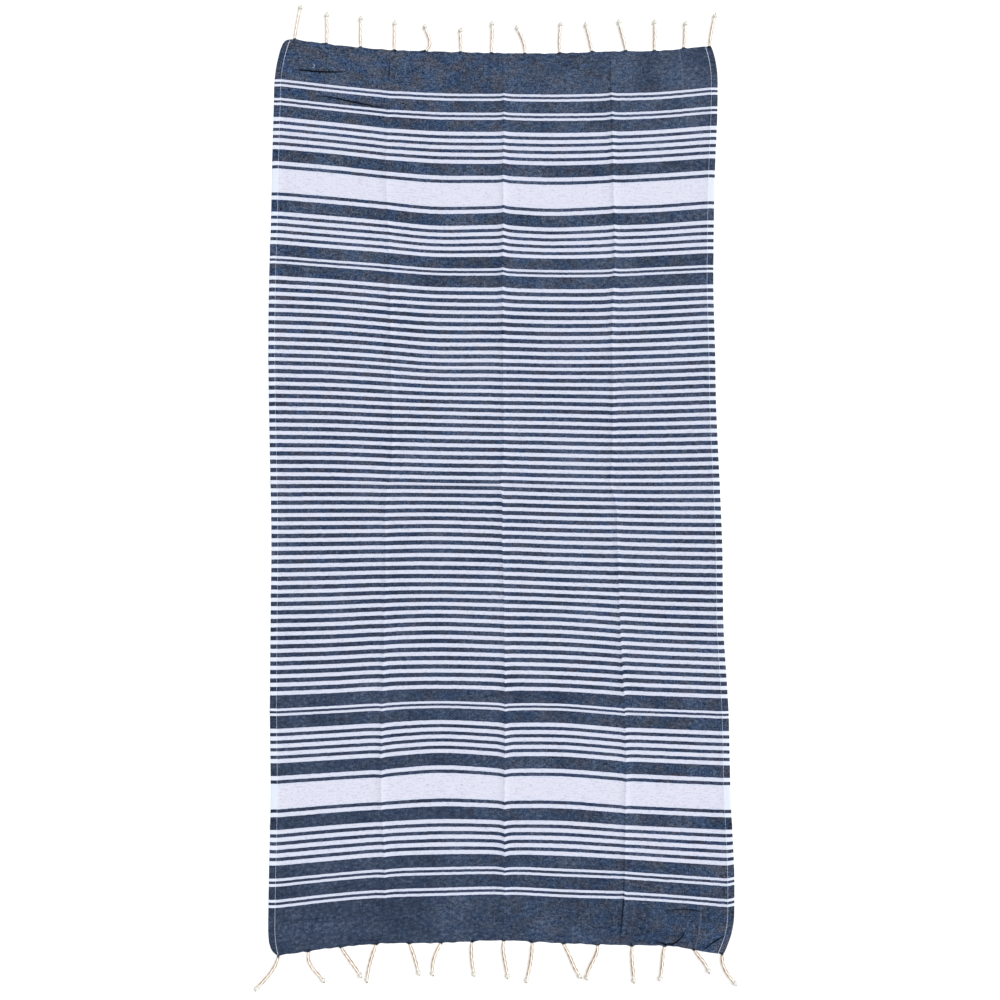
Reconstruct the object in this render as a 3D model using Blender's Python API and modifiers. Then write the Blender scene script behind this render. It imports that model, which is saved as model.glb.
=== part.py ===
"""Hammam towel: a striped flat weave with hemmed long sides and knotted cords at both ends.

It lies face up on a level surface. X runs across the towel, Y along it and Z up.
Places on the cloth are given as "across" and "along", in metres from its middle.
"""

from collections import namedtuple
import math

import bmesh
import bpy
from mathutils import Vector

# Driving dimensions, in metres
CLOTH_WIDTH = 1.000
CLOTH_LENGTH = 1.985
CLOTH_THICK = 0.0012
HEM_WIDTH = 0.015
HEM_THICK = 0.0024
HEM_STEP = 0.001
HEM_ROUND_SHARE = 0.5

STRIP_WIDTH = 0.006
STRIP_GAP = 0.0008
ROOT_PULL = 0.001
ROOT_CLEAR = 0.0015

CORD_WIDTH = 0.0054
CORD_WAIST = 0.0046
CORD_THICK = 0.0050
CORD_STEPS = 8
KNOT_WIDTH = 0.0095
KNOT_LENGTH = 0.0115
KNOT_THICK = 0.0080
KNOT_SHOULDERS = (0.3, 0.7)

FOLD_FOOT = 0.024
FOLD_SHOULDER = 0.009
FOLD_ROUNDING = 2.0
FLAT_END = 0.012
END_FADE = 0.070

ACROSS_SPAN = 0.042
ALONG_SPAN = 0.066
STRIP_SPAN = 0.035

HALF_WIDTH = CLOTH_WIDTH / 2
HALF_LENGTH = CLOTH_LENGTH / 2
MM = 0.001

# Where the two long edges lie, in millimetres across
Side = namedtuple("Side", "along left right")
SIDES = (
    Side(along=-990, left=-493, right=508),
    Side(along=-830, left=-492, right=509),
    Side(along=-670, left=-492, right=505),
    Side(along=-480, left=-495, right=501),
    Side(along=-290, left=-496, right=494),
    Side(along=-120, left=-497, right=492),
    Side(along=40, left=-501, right=486),
    Side(along=175, left=-505, right=481),
    Side(along=310, left=-509, right=482),
    Side(along=440, left=-509, right=480),
    Side(along=580, left=-506, right=481),
    Side(along=715, left=-504, right=487),
    Side(along=990, left=-503, right=494),
)

# How far the two end edges stand off a straight line, in millimetres towards the top
End = namedtuple("End", "across top bottom")
ENDS = (
    End(across=-500, top=16, bottom=-20),
    End(across=-420, top=4, bottom=-10),
    End(across=-340, top=-5, bottom=-3),
    End(across=-240, top=-12, bottom=4),
    End(across=-120, top=-16, bottom=7),
    End(across=0, top=-19, bottom=11),
    End(across=130, top=-21, bottom=7),
    End(across=270, top=-17, bottom=2),
    End(across=400, top=-12, bottom=-4),
    End(across=500, top=0, bottom=-18),
)

# Corners are drawn in by their hems: how far, over what length, and how much is rounded off
Corner = namedtuple("Corner", "side end drawn_in reach rounded")
CORNERS = (
    Corner(side=-1, end=1, drawn_in=27, reach=125, rounded=4),
    Corner(side=1, end=1, drawn_in=16, reach=80, rounded=1),
    Corner(side=-1, end=-1, drawn_in=22, reach=70, rounded=0),
    Corner(side=1, end=-1, drawn_in=26, reach=90, rounded=0),
)
CORNER_SPREAD = 0.145
ROUNDING_REACH = 0.040
ROUNDING_STEEP = 0.012

# Creases left by folding the towel to a quarter of a metre square, in millimetres
Fold = namedtuple("Fold", "place rise")
LENGTHWISE_FOLDS = (
    Fold(place=-250, rise=3.0),
    Fold(place=12, rise=3.5),
    Fold(place=260, rise=4.5),
)
CROSSWISE_FOLDS = (
    Fold(place=-727, rise=3.0),
    Fold(place=-484, rise=4.0),
    Fold(place=-238, rise=3.5),
    Fold(place=9, rise=4.5),
    Fold(place=267, rise=4.0),
    Fold(place=519, rise=3.5),
    Fold(place=778, rise=2.5),
)
UNEVEN_SHARE = 0.22
UNEVEN_PITCH = 0.19
UNEVEN_SLANT = 9.0

# Cords: where each leaves the edge and how long it is, in millimetres, and how far it leans
# from straight out at its root, halfway and at its tip, in degrees towards +X
Cord = namedtuple("Cord", "across length root middle tip")
TOP_CORDS = (
    Cord(across=-478, length=77, root=12, middle=9, tip=17),
    Cord(across=-389, length=69, root=10, middle=-2, tip=4),
    Cord(across=-303, length=69, root=1, middle=0, tip=0),
    Cord(across=-228, length=65, root=2, middle=1, tip=0),
    Cord(across=-157, length=65, root=66, middle=-18, tip=2),
    Cord(across=-80, length=53, root=6, middle=-3, tip=10),
    Cord(across=-8, length=70, root=4, middle=2, tip=-8),
    Cord(across=67, length=66, root=4, middle=-21, tip=-26),
    Cord(across=144, length=69, root=-2, middle=2, tip=8),
    Cord(across=216, length=66, root=-8, middle=-13, tip=-16),
    Cord(across=293, length=71, root=-10, middle=-14, tip=-14),
    Cord(across=360, length=69, root=3, middle=1, tip=-7),
    Cord(across=435, length=59, root=14, middle=0, tip=10),
    Cord(across=497, length=76, root=4, middle=13, tip=14),
)
BOTTOM_CORDS = (
    Cord(across=-497, length=87, root=-2, middle=-39, tip=-38),
    Cord(across=-424, length=75, root=-12, middle=38, tip=33),
    Cord(across=-339, length=74, root=36, middle=34, tip=31),
    Cord(across=-267, length=81, root=-22, middle=-14, tip=-3),
    Cord(across=-194, length=68, root=28, middle=16, tip=19),
    Cord(across=-128, length=71, root=-32, middle=-15, tip=15),
    Cord(across=-62, length=71, root=-6, middle=6, tip=13),
    Cord(across=8, length=79, root=-8, middle=11, tip=2),
    Cord(across=68, length=84, root=2, middle=-10, tip=-15),
    Cord(across=134, length=80, root=36, middle=23, tip=41),
    Cord(across=209, length=76, root=2, middle=-34, tip=5),
    Cord(across=283, length=76, root=-6, middle=7, tip=0),
    Cord(across=352, length=72, root=-16, middle=-5, tip=-22),
    Cord(across=432, length=57, root=36, middle=37, tip=10),
    Cord(across=497, length=74, root=-12, middle=35, tip=40),
)

CLOTH_COLOUR = (0.062, 0.084, 0.143, 1.0)
YARN_COLOUR = (0.776, 0.730, 0.640, 1.0)
CLOTH_ROUGHNESS = 0.90
YARN_ROUGHNESS = 0.85


def smooth(t):
    """Zero below 0, one above 1, and a soft ramp between them."""
    t = min(max(t, 0.0), 1.0)
    return t * t * (3 - 2 * t)


def through(rows, key, column, place):
    """A column of a table at a place between its rows, in metres, on a smooth curve."""
    keys = [getattr(row, key) * MM for row in rows]
    values = [getattr(row, column) * MM for row in rows]
    last = len(rows) - 1
    place = min(max(place, keys[0]), keys[-1])
    i = max(k for k in range(last) if keys[k] <= place)
    before, after = max(i - 1, 0), min(i + 2, last)
    span = keys[i + 1] - keys[i]
    t = (place - keys[i]) / span
    slope_in = span * (values[i + 1] - values[before]) / (keys[i + 1] - keys[before])
    slope_out = span * (values[after] - values[i]) / (keys[after] - keys[i])
    rise = values[i + 1] - values[i]
    return (
        values[i]
        + slope_in * t
        + (3 * rise - 2 * slope_in - slope_out) * t**2
        + (slope_in + slope_out - 2 * rise) * t**3
    )


def corner_near(across, along):
    """The corner on the same side and at the same end as a place on the cloth."""
    side = 1 if across > 0 else -1
    end = 1 if along > 0 else -1
    return next(c for c in CORNERS if c.side == side and c.end == end)


def drawn_in(across, along):
    """How far the hem's pull moves a place near a corner towards the middle."""
    corner = corner_near(across, along)
    reach = corner.reach * MM
    near_end = min(max((abs(along) - HALF_LENGTH + reach) / reach, 0.0), 1.0)
    near_side = smooth((abs(across) - HALF_WIDTH + HEM_WIDTH + CORNER_SPREAD) / CORNER_SPREAD)
    return -corner.side * corner.drawn_in * MM * near_end**2 * near_side


def rounded_off(across, along):
    """How much shorter the cloth is near its corners, in the width of the hem."""
    corner = corner_near(across, along)
    into_hem = max((abs(across) - HALF_WIDTH + HEM_WIDTH) / HEM_WIDTH, 0.0)
    near_end = smooth((abs(along) - HALF_LENGTH + ROUNDING_REACH) / (ROUNDING_REACH - STRIP_WIDTH))
    return corner.end * corner.rounded * MM * into_hem**2 * near_end


def place(across, along):
    """The spot on the floor where a point of the cloth lies."""
    share = across / CLOTH_WIDTH + 0.5
    left = through(SIDES, "along", "left", along)
    right = through(SIDES, "along", "right", along)
    towards_top = along / CLOTH_LENGTH + 0.5
    top = through(ENDS, "across", "top", across)
    bottom = through(ENDS, "across", "bottom", across)
    x = left * (1 - share) + right * share + drawn_in(across, along)
    y = along + top * towards_top + bottom * (1 - towards_top) - rounded_off(across, along)
    return x, y


def fold_height(folds, where, other):
    """How high the nearest crease of one direction lifts the cloth."""
    uneven = 1 + UNEVEN_SHARE * math.sin(other / UNEVEN_PITCH + where * UNEVEN_SLANT)
    heights = [
        fold.rise * MM * max(1 - abs(where - fold.place * MM) / FOLD_FOOT, 0.0) ** FOLD_ROUNDING
        for fold in folds
    ]
    return max(heights) * uneven


def rise(across, along):
    """The height of the cloth's underside, which is zero wherever it touches the floor."""
    lift = max(
        fold_height(LENGTHWISE_FOLDS, across, along),
        fold_height(CROSSWISE_FOLDS, along, across),
    )
    return lift * smooth((HALF_LENGTH - FLAT_END - abs(along)) / END_FADE)


def lines_of(folds, edges, span):
    """Grid lines: the edges' own, a set on each crease, and even ones in the open between them."""
    offsets = (-FOLD_FOOT, -FOLD_SHOULDER, 0.0, FOLD_SHOULDER, FOLD_FOOT)
    lines = list(edges)
    lines += [fold.place * MM + offset for fold in folds for offset in offsets]
    lines.sort()
    extra = []
    for low, high in zip(lines, lines[1:]):
        count = round((high - low) / span)
        extra += [low + (high - low) * k / count for k in range(1, count)]
    return sorted(lines + extra)


def hem_lines():
    """Lines at both hems: two at the step of the inner edge, one in the round and the edge."""
    inner = HALF_WIDTH - HEM_WIDTH
    hem = (inner - HEM_STEP, inner, inner + HEM_WIDTH * HEM_ROUND_SHARE, HALF_WIDTH)
    return [side * line for side in (-1, 1) for line in hem]


def across_lines():
    return lines_of(LENGTHWISE_FOLDS, hem_lines(), ACROSS_SPAN)


def along_lines():
    """Grid lines along the cloth, from one parted strip to the other."""
    end = HALF_LENGTH - STRIP_WIDTH - STRIP_GAP
    ends = (end, end - ROUNDING_STEEP, HALF_LENGTH - ROUNDING_REACH)
    return lines_of(CROSSWISE_FOLDS, [side * line for side in (-1, 1) for line in ends], ALONG_SPAN)


def layer_thickness(across):
    """Two layers in the hems and one between them."""
    in_hem = abs(across) > HALF_WIDTH - HEM_WIDTH - HEM_STEP / 2
    return HEM_THICK if in_hem else CLOTH_THICK


def yarn_material(name, colour, roughness):
    material = bpy.data.materials.new(name)
    material.use_nodes = True
    shader = material.node_tree.nodes["Principled BSDF"]
    shader.inputs["Base Color"].default_value = colour
    shader.inputs["Roughness"].default_value = roughness
    shader.inputs["Metallic"].default_value = 0.0
    material.diffuse_color = colour
    return material


def grid_on_cloth(mesh_tools, columns, rows):
    """A grid laid on the cloth's underside, as a point for each pair of across and along."""
    bmesh.ops.create_grid(
        mesh_tools, x_segments=len(columns) - 1, y_segments=len(rows) - 1, size=0.5
    )
    points = {}
    for point in mesh_tools.verts:
        across = columns[round((point.co.x + 0.5) * (len(columns) - 1))]
        along = rows[round((point.co.y + 0.5) * (len(rows) - 1))]
        point.co = Vector((*place(across, along), rise(across, along)))
        points[across, along] = point
    return points


def built_up(name, mesh_tools, thickness, material, collection):
    """An object from an open underside, thickened upwards by each point's own amount."""
    thickest = max(thickness.values())
    shares = [thickness[point] / thickest for point in mesh_tools.verts]
    mesh = bpy.data.meshes.new(name)
    mesh_tools.to_mesh(mesh)
    mesh_tools.free()
    mesh.materials.append(material)
    piece = bpy.data.objects.new(name, mesh)
    collection.objects.link(piece)
    group = piece.vertex_groups.new(name="thickness")
    for index, share in enumerate(shares):
        group.add([index], share, "REPLACE")
    layers = piece.modifiers.new("layers", "SOLIDIFY")
    layers.thickness = thickest
    layers.offset = 1.0
    layers.vertex_group = group.name
    return piece


def make_cloth(material, collection):
    mesh_tools = bmesh.new()
    points = grid_on_cloth(mesh_tools, across_lines(), along_lines())
    thickness = {point: layer_thickness(across) for (across, _), point in points.items()}
    return built_up("cloth", mesh_tools, thickness, material, collection)


def lean_at(cord, share):
    """How far a cord leans at a share of its length, on a curve through its three leans."""
    return math.radians(
        cord.root * (1 - share) * (1 - 2 * share)
        + cord.middle * 4 * share * (1 - share)
        + cord.tip * share * (2 * share - 1)
    )


def cord_sections(cord):
    """The distance from the root, width and thickness of each section: a shaft, then a knot."""
    length = cord.length * MM
    shaft = length - KNOT_LENGTH
    for k in range(1, CORD_STEPS + 1):
        yield shaft * k / CORD_STEPS, (CORD_WIDTH if k % 2 else CORD_WAIST), CORD_THICK
    for share in KNOT_SHOULDERS:
        yield shaft + KNOT_LENGTH * share, KNOT_WIDTH, KNOT_THICK
    yield length, CORD_WIDTH, CORD_THICK


def draw_out_cord(mesh_tools, cord, end, left, right):
    """Extrudes a cord from the edge between two points, as a ribbon that follows its leans."""
    thickness = {left: CORD_THICK, right: CORD_THICK}
    spot = (left.co.xy + right.co.xy) / 2
    reached = 0.0
    for distance, width, thick in cord_sections(cord):
        lean = lean_at(cord, (reached + distance) / 2 / (cord.length * MM))
        heading = Vector((math.sin(lean), end * math.cos(lean)))
        spot = spot + heading * (distance - reached)
        reached = distance
        half_width = Vector((math.cos(lean), -end * math.sin(lean))) * width / 2
        made = bmesh.ops.extrude_edge_only(mesh_tools, edges=[mesh_tools.edges.get((left, right))])
        new_points = [item for item in made["geom"] if isinstance(item, bmesh.types.BMVert)]
        left = next(point for point in new_points if mesh_tools.edges.get((point, left)))
        right = next(point for point in new_points if point is not left)
        left.co.xy = spot - half_width
        right.co.xy = spot + half_width
        thickness[left] = thickness[right] = thick
    return thickness


def clear_of(pairs, lines):
    """The lines that don't run through a cord's root or close beside it."""
    return [
        line
        for line in lines
        if all(line < left - ROOT_CLEAR or line > right + ROOT_CLEAR for left, right in pairs)
    ]


def make_fringe(name, cords, end, material, collection):
    """A narrow strip along one end of the cloth, with every cord drawn out of its outer edge."""
    outer = end * HALF_LENGTH
    roots = {
        cord: [cord.across * MM + side * CORD_WIDTH / 2 for side in (-1, 1)] for cord in cords
    }
    edges = clear_of(roots.values(), hem_lines()) + [line for pair in roots.values() for line in pair]
    columns = lines_of((), edges, STRIP_SPAN)
    mesh_tools = bmesh.new()
    points = grid_on_cloth(mesh_tools, columns, sorted((outer, outer - end * STRIP_WIDTH)))
    thickness = {point: layer_thickness(across) for (across, _), point in points.items()}
    for cord, pair in roots.items():
        left, right = (points[across, outer] for across in pair)
        left.co.y += end * ROOT_PULL
        right.co.y += end * ROOT_PULL
        thickness.update(draw_out_cord(mesh_tools, cord, end, left, right))
    bmesh.ops.recalc_face_normals(mesh_tools, faces=mesh_tools.faces)
    return built_up(name, mesh_tools, thickness, material, collection)


def stand_on_middle(pieces):
    """Parents the pieces to an empty that brings the middle of their reach to the origin."""
    spots = [point.co for piece in pieces for point in piece.data.vertices]
    middle = [(min(axis) + max(axis)) / 2 for axis in zip(*((spot.x, spot.y) for spot in spots))]
    carrier = bpy.data.objects.new("towel_middle", None)
    carrier.location = (-middle[0], -middle[1], 0.0)
    pieces[0].users_collection[0].objects.link(carrier)
    for piece in pieces:
        piece.parent = carrier


def main():
    for leftover in list(bpy.data.objects):
        bpy.data.objects.remove(leftover)
    towel = bpy.data.collections.new("hammam_towel")
    bpy.context.scene.collection.children.link(towel)
    cloth_finish = yarn_material("towel_cloth", CLOTH_COLOUR, CLOTH_ROUGHNESS)
    yarn_finish = yarn_material("fringe_yarn", YARN_COLOUR, YARN_ROUGHNESS)
    pieces = [
        make_cloth(cloth_finish, towel),
        make_fringe("fringe_top", TOP_CORDS, 1, yarn_finish, towel),
        make_fringe("fringe_bottom", BOTTOM_CORDS, -1, yarn_finish, towel),
    ]
    stand_on_middle(pieces)


main()
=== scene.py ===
"""Looks of a striped hammam towel that lies face up and drawn out flat, with knotted cords at its ends.

A place on the cloth is given as "across" and "along", in metres from the middle of the cloth. The
tables that say how the cloth lies and how it is striped are in millimetres.
"""

from collections import namedtuple
import math

import bpy
import numpy as np
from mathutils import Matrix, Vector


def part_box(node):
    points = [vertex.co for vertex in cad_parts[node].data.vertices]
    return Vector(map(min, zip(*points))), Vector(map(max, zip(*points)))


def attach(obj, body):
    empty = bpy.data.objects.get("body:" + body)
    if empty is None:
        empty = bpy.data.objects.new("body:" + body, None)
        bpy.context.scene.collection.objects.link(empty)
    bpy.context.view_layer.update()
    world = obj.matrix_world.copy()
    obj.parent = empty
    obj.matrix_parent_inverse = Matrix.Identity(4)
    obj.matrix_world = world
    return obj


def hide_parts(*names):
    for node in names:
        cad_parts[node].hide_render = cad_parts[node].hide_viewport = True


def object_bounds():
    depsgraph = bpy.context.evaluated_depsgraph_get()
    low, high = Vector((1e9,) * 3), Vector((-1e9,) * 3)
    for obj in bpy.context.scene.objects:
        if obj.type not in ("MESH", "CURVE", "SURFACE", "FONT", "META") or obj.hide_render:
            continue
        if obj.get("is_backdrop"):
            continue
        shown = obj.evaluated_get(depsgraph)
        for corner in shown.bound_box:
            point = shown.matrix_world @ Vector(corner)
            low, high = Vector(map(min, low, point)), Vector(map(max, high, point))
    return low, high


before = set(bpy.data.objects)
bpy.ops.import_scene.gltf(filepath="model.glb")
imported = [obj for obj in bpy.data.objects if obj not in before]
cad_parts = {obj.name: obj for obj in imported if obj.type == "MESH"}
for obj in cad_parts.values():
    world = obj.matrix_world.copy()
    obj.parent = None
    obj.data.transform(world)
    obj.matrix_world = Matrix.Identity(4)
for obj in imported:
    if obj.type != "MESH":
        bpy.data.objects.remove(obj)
SOLID_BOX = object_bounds()
MM = 0.001

# -------- the cloth as it is woven

CLOTH_WIDTH = 1.000
CLOTH_LENGTH = 1.985
HALF_WIDTH = CLOTH_WIDTH / 2
HALF_LENGTH = CLOTH_LENGTH / 2

CLOTH_THICK = 0.0009
HEM_WIDTH = 0.015
HEM_STEP = 0.004
HEM_THICK = 0.0016
# How thick the hem's rounded outer fold is, in metres, at millimetres from the edge
HEM_ROUND = ((0.0, 0.0010), (1.2, 0.0013), (3.5, 0.0015), (7.5, 0.0016))

# Widths of the stripes: thin, bar, wide and field_pale are pale; the others are dark
THIN, THIN_GAP = 5.5, 5.5
BAR, BAR_GAP = 8.8, 7.3
BAND, WIDE = 27.2, 53.2
FIELD_PITCH, FIELD_PALE = 17.85, 8.4
END_BAND = 96.6
PAIR = (THIN, THIN_GAP, THIN)
FIVE_BARS = (BAR, BAR_GAP) * 4 + (BAR,)
# From the plain dark end band to the field: pale and dark by turns, starting pale
HEAD = (
    *(*PAIR, BAND, *PAIR, BAND, *FIVE_BARS, BAND),
    *(BAR, BAR_GAP, WIDE, BAR_GAP, BAR),
    *(BAND, *FIVE_BARS, BAND, *PAIR),
)

# -------- how it lies

# Where the two long sides lie at places along the cloth
Side = namedtuple("Side", "along left right")
SIDES = [Side(*row) for row in (
    (-990, -491, 506),
    (-830, -490.5, 509),
    (-670, -489, 503.5),
    (-480, -493, 501),
    (-290, -494, 492.5),
    (-120, -494.5, 492),
    (40, -499.5, 487),
    (175, -504, 482.5),
    (310, -507, 481.5),
    (440, -507, 479.5),
    (580, -504.5, 482),
    (715, -503.5, 486.5),
    (850, -501.5, 493.5),
    (990, -501, 495),
)]

# How far the weft stands off a straight line, towards the top end, at nine places from hem to hem
WEFT_PLACES = (-480, -360, -250, -140, 12, 130, 260, 370, 480)
Weft = namedtuple("Weft", "along stands_off")
WEFTS = [Weft(*row) for row in (
    (-990, (-18.5, -3, 6, 7, 12.5, 6.5, 2.5, 0, -15)),
    (-870, (-15.5, -2.5, 6, 9.5, 12, 6.5, 1.5, -5.5, -14)),
    (-805, (-14, -3.5, 5.5, 9.5, 9.5, 6.5, -0.5, -7.5, -14)),
    (-740, (-12.5, -2, 5.5, 10.5, 8.5, 7, -1.5, -7, -12)),
    (-615, (-10, -2.5, 4.5, 12.5, 6, 5, -4, -9.5, -14)),
    (-485, (-9.5, -3.5, 3, 7, 3, 1.5, -7, -11, -15)),
    (-420, (-8.5, -4, 2, 4, 1.5, -1.5, -7.5, -11.5, -15.5)),
    (-295, (-5, -2, 3, 6.5, 2, -1, -8, -13, -16.5)),
    (-230, (-3, -0.5, 3, 4, 1, -3.5, -8, -11.5, -14)),
    (-100, (2.5, 3.5, 4.5, 6, 1.5, -3, -6, -8.5, -10)),
    (30, (4.5, 4, 1, -2, -4, -7, -9.5, -9.5, -8)),
    (160, (7.5, 5, 0.5, -3, -6.5, -8.5, -11, -9.5, -6.5)),
    (290, (10, 6, -1, -10, -11, -14, -13.5, -10.5, -6)),
    (415, (13.5, 7.5, -1, -9, -12, -15, -14.5, -10.5, -5)),
    (480, (13.5, 4.5, -3.5, -12.5, -14.5, -17.5, -17, -12, -7)),
    (610, (14, 4, -6, -17.5, -17, -22.5, -18, -14, -6)),
    (740, (16.5, 5.5, -6.5, -15, -17.5, -20.5, -17.5, -12, -4.5)),
    (865, (17, 3, -8, -15, -17, -18.5, -16.5, -12.5, -2.5)),
    (990, (12.5, -1, -11.5, -15.5, -19.5, -20, -15.5, -14, -4.5)),
)]

# Corners are drawn in by their hems, over a length of cloth. The hem itself narrows there too,
# and is rounded off
Corner = namedtuple("Corner", "side end drawn_in reach narrowed rounded")
CORNERS = (
    Corner(side=-1, end=1, drawn_in=20, reach=120, narrowed=3, rounded=4),
    Corner(side=1, end=1, drawn_in=13, reach=80, narrowed=1, rounded=1),
    Corner(side=-1, end=-1, drawn_in=7.5, reach=60, narrowed=12, rounded=0),
    Corner(side=1, end=-1, drawn_in=20, reach=80, narrowed=0, rounded=0),
)
CORNER_SPREAD = 0.145
ROUNDING_REACH = 0.024
ROUNDED_UP_TO = 0.86

# Lengthwise creases wander: where each one is, how high it stands, how far it pulls the weft towards
# the top end, how dark the painted shade along its left is, in hundredths, and how much further it pulls
# its right side
Ridge = namedtuple("Ridge", "along place height pull dark step", defaults=(0.0,))
LEFT_RIDGE = [Ridge(*row) for row in (
    (-990, -251, 1, 0, 2),
    (-870, -251, 1.8, -1.4, 2),
    (-800, -252, 1.8, -1.2, 2),
    (-730, -258, 2.6, -0.5, 2),
    (-600, -259, 2.6, -2.4, 2),
    (-440, -253, 2.4, -1.8, 2),
    (-200, -247, 2, -0.5, 2),
    (-30, -243, 2.4, -1, 4),
    (40, -231, 2.2, -1, 4),
    (300, -226, 2.6, -0.5, 4),
    (420, -227, 2.8, -1.6, 4),
    (560, -234, 2, 0, 2),
    (700, -242, 1.8, -0.8, 2),
    (870, -242, 1.8, -2, 2),
    (990, -242, 0.8, 0, 2),
)]
MIDDLE_RIDGE = [Ridge(*row) for row in (
    (-990, 6, 2.6, -0.5, 4, -0.2),
    (-850, 7, 2.4, -2.2, 4, -0.1),
    (-800, 7, 2.6, -4, 4, -0.2),
    (-740, 7, 2.8, -3, 4, -0.2),
    (-570, 11, 3, -3.5, 4, -0.2),
    (-390, 15, 2.8, -1.5, 4, -0.5),
    (-250, 16, 2.6, 0, 4, -0.5),
    (-120, 12, 3, -1, 7, -0.8),
    (-30, 14, 2.6, 0, 7, -0.8),
    (5, 13, 2.4, 0.3, 4),
    (50, 19, 2.6, 0.5, 4),
    (250, 25, 3, -1.2, 4),
    (420, 26, 3, 1.6, 7),
    (600, 24, 3, 3, 7),
    (760, 21, 2.6, 1.5, 7),
    (880, 18, 2.4, 1.5, 7),
    (990, 16, 0.8, 0, 7),
)]
RIGHT_RIDGE = [Ridge(*row) for row in (
    (-990, 257, 2, 0, 10),
    (-945, 260, 3.4, 0.3, 95),
    (-905, 263, 3.6, 1.4, 100, -0.9),
    (-850, 264, 3.6, 1.2, 45, -0.3),
    (-740, 268, 3.2, -0.3, 30),
    (-600, 274, 2.6, -2, 16),
    (-450, 273, 2.8, -1, 18, 1.2),
    (-280, 271, 2.6, -0.6, 20, 1.2),
    (-120, 267, 2.8, 0.8, 16),
    (-30, 266, 3, 0.3, 8),
    (11, 257, 2.6, 0, 8),
    (60, 262, 2.6, 0, 8),
    (200, 269, 2.8, -1.8, 14),
    (340, 270, 3, 0.6, 14),
    (520, 277, 3, 1.5, 14),
    (700, 270, 2.8, 1, 25),
    (900, 260, 2.6, 1.5, 45),
    (990, 258, 0.8, 0, 25),
)]
RIDGES = {-0.244: LEFT_RIDGE, 0.015: MIDDLE_RIDGE, 0.266: RIGHT_RIDGE}
RIDGE_FOOT = 0.020
RIDGE_SHARPNESS = 2.6
RIDGE_SWAY = 0.100
PULL_REACH = 0.011
STEP_REACH = 0.040
STEP_SHARPNESS = 0.0012

# Crosswise creases run straight, some only to the left (-1) or right (1) of the middle crease: their
# heights at the left hem, in the middle and at the right hem, and how much cloth each takes up there
Fold = namedtuple("Fold", "along heights taken side", defaults=(0,))
FOLDS = [Fold(*row) for row in (
    (-727, (1.4, 1.8, 1.4), (1, 1, 1)),
    (-484, (1.6, 2.2, 2), (1.4, 1.4, 1.4)),
    (-238, (1.2, 2, 2), (1.2, 1.2, 1.2)),
    (0.5, (2, 3.4, 3.4), (0.6, 4.6, 4.6), -1),
    (9, (3, 3, 2.4), (2.8, 2.8, 0.8), 1),
    (267, (1.8, 2.4, 2), (1.6, 1.6, 1.6)),
    (519, (1.4, 2, 1.6), (1.2, 1.2, 1.2)),
    (778, (1, 1.6, 1.2), (0.8, 0.8, 0.8)),
)]
FOLD_CROSSING = 0.008
FOLD_FOOT = 0.020
FOLD_SHARPNESS = 2.4
FOLD_TAKE_REACH = 0.0045
FOLD_GIVE_REACH = 0.070
END_FADE = 0.050
SIDE_POINTS = 400

HEM_KICK = 0.0030
HEM_KICK_START = -0.700
HEM_KICK_REACH = 0.150

# Small wrinkles: each runs through a few places, given across and along, and is so high in its
# middle. It falls off gently to its left and drops steeply on its right, where a dark line of painted
# shadow is drawn, so dark
Wrinkle = namedtuple("Wrinkle", "through height left dark")
WRINKLES = [Wrinkle(*row) for row in (
    (((-466, 923), (-430, 924), (-403, 925), (-380, 927), (-355, 930), (-338, 934)), 2.6, 15, 1.4),
    (
        ((-408, 868), (-385, 868), (-362, 867), (-337, 864), (-310, 861), (-280, 858), (-244, 857)),
        2.4, 15, 1.3,
    ),
    (((-208, 943), (-180, 945)), 1, 8, 0.6),
    (((-240, 972), (-241, 920)), 1.4, 8, 0.9),
    (((346, -917), (369, -911), (390, -908), (412, -907), (438, -911)), 2.2, 10, 1),
    (((332, -984), (355, -987), (368, -987), (380, -981), (389, -971), (396, -956)), 2.6, 12, 2.2),
    (((450, -989), (461, -974), (471, -964), (486, -953)), 2.6, 12, 2),
    (((-44, -470), (-2, -455)), 1.2, 8, 0.6),
    (((-376, -869), (-312, -861)), 1.2, 10, 0.5),
    (((-475, -923), (-420, -926), (-355, -928)), 1.4, 10, 0.4),
    (((-282, -984), (-246, -980)), 1.4, 8, 0.7),
    (((328, -841), (364, -848)), 1.4, 8, 0.6),
)]
WRINKLE_SHARPNESS = 1.5
WRINKLE_TAPER = 0.6
PINCH = 0.0020
RIDGE_DARK_ASIDE = 0.0012
LINE_MARGIN = 0.009
LINE_NEAR = 0.0055
LINE_WIDTH = 2.6

OPEN_SPAN = 0.0125
RIDGE_OFFSETS = (0.0, 0.0013, 0.0028, 0.0046, 0.0068, 0.0096, 0.0135, 0.0200)
FOLD_OFFSETS = (0.0, 0.0020, 0.0046, 0.0090, 0.0150)
EDGE_OFFSETS = (0.0, 0.0010, 0.0028, 0.0055, 0.0090, 0.0130)
FINE_MARGIN = 0.0070
# Faces near the wrinkles, and near the cords' roots, that are larger than so many square metres are
# cut so many times
FINE_CUTS = ((60e-6, 6), (20e-6, 3), (6e-6, 1))
ROOT_REACH = 0.0075
ROOT_CUTS = ((0.0, 4),)
ON_EDGE = 1e-6
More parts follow.
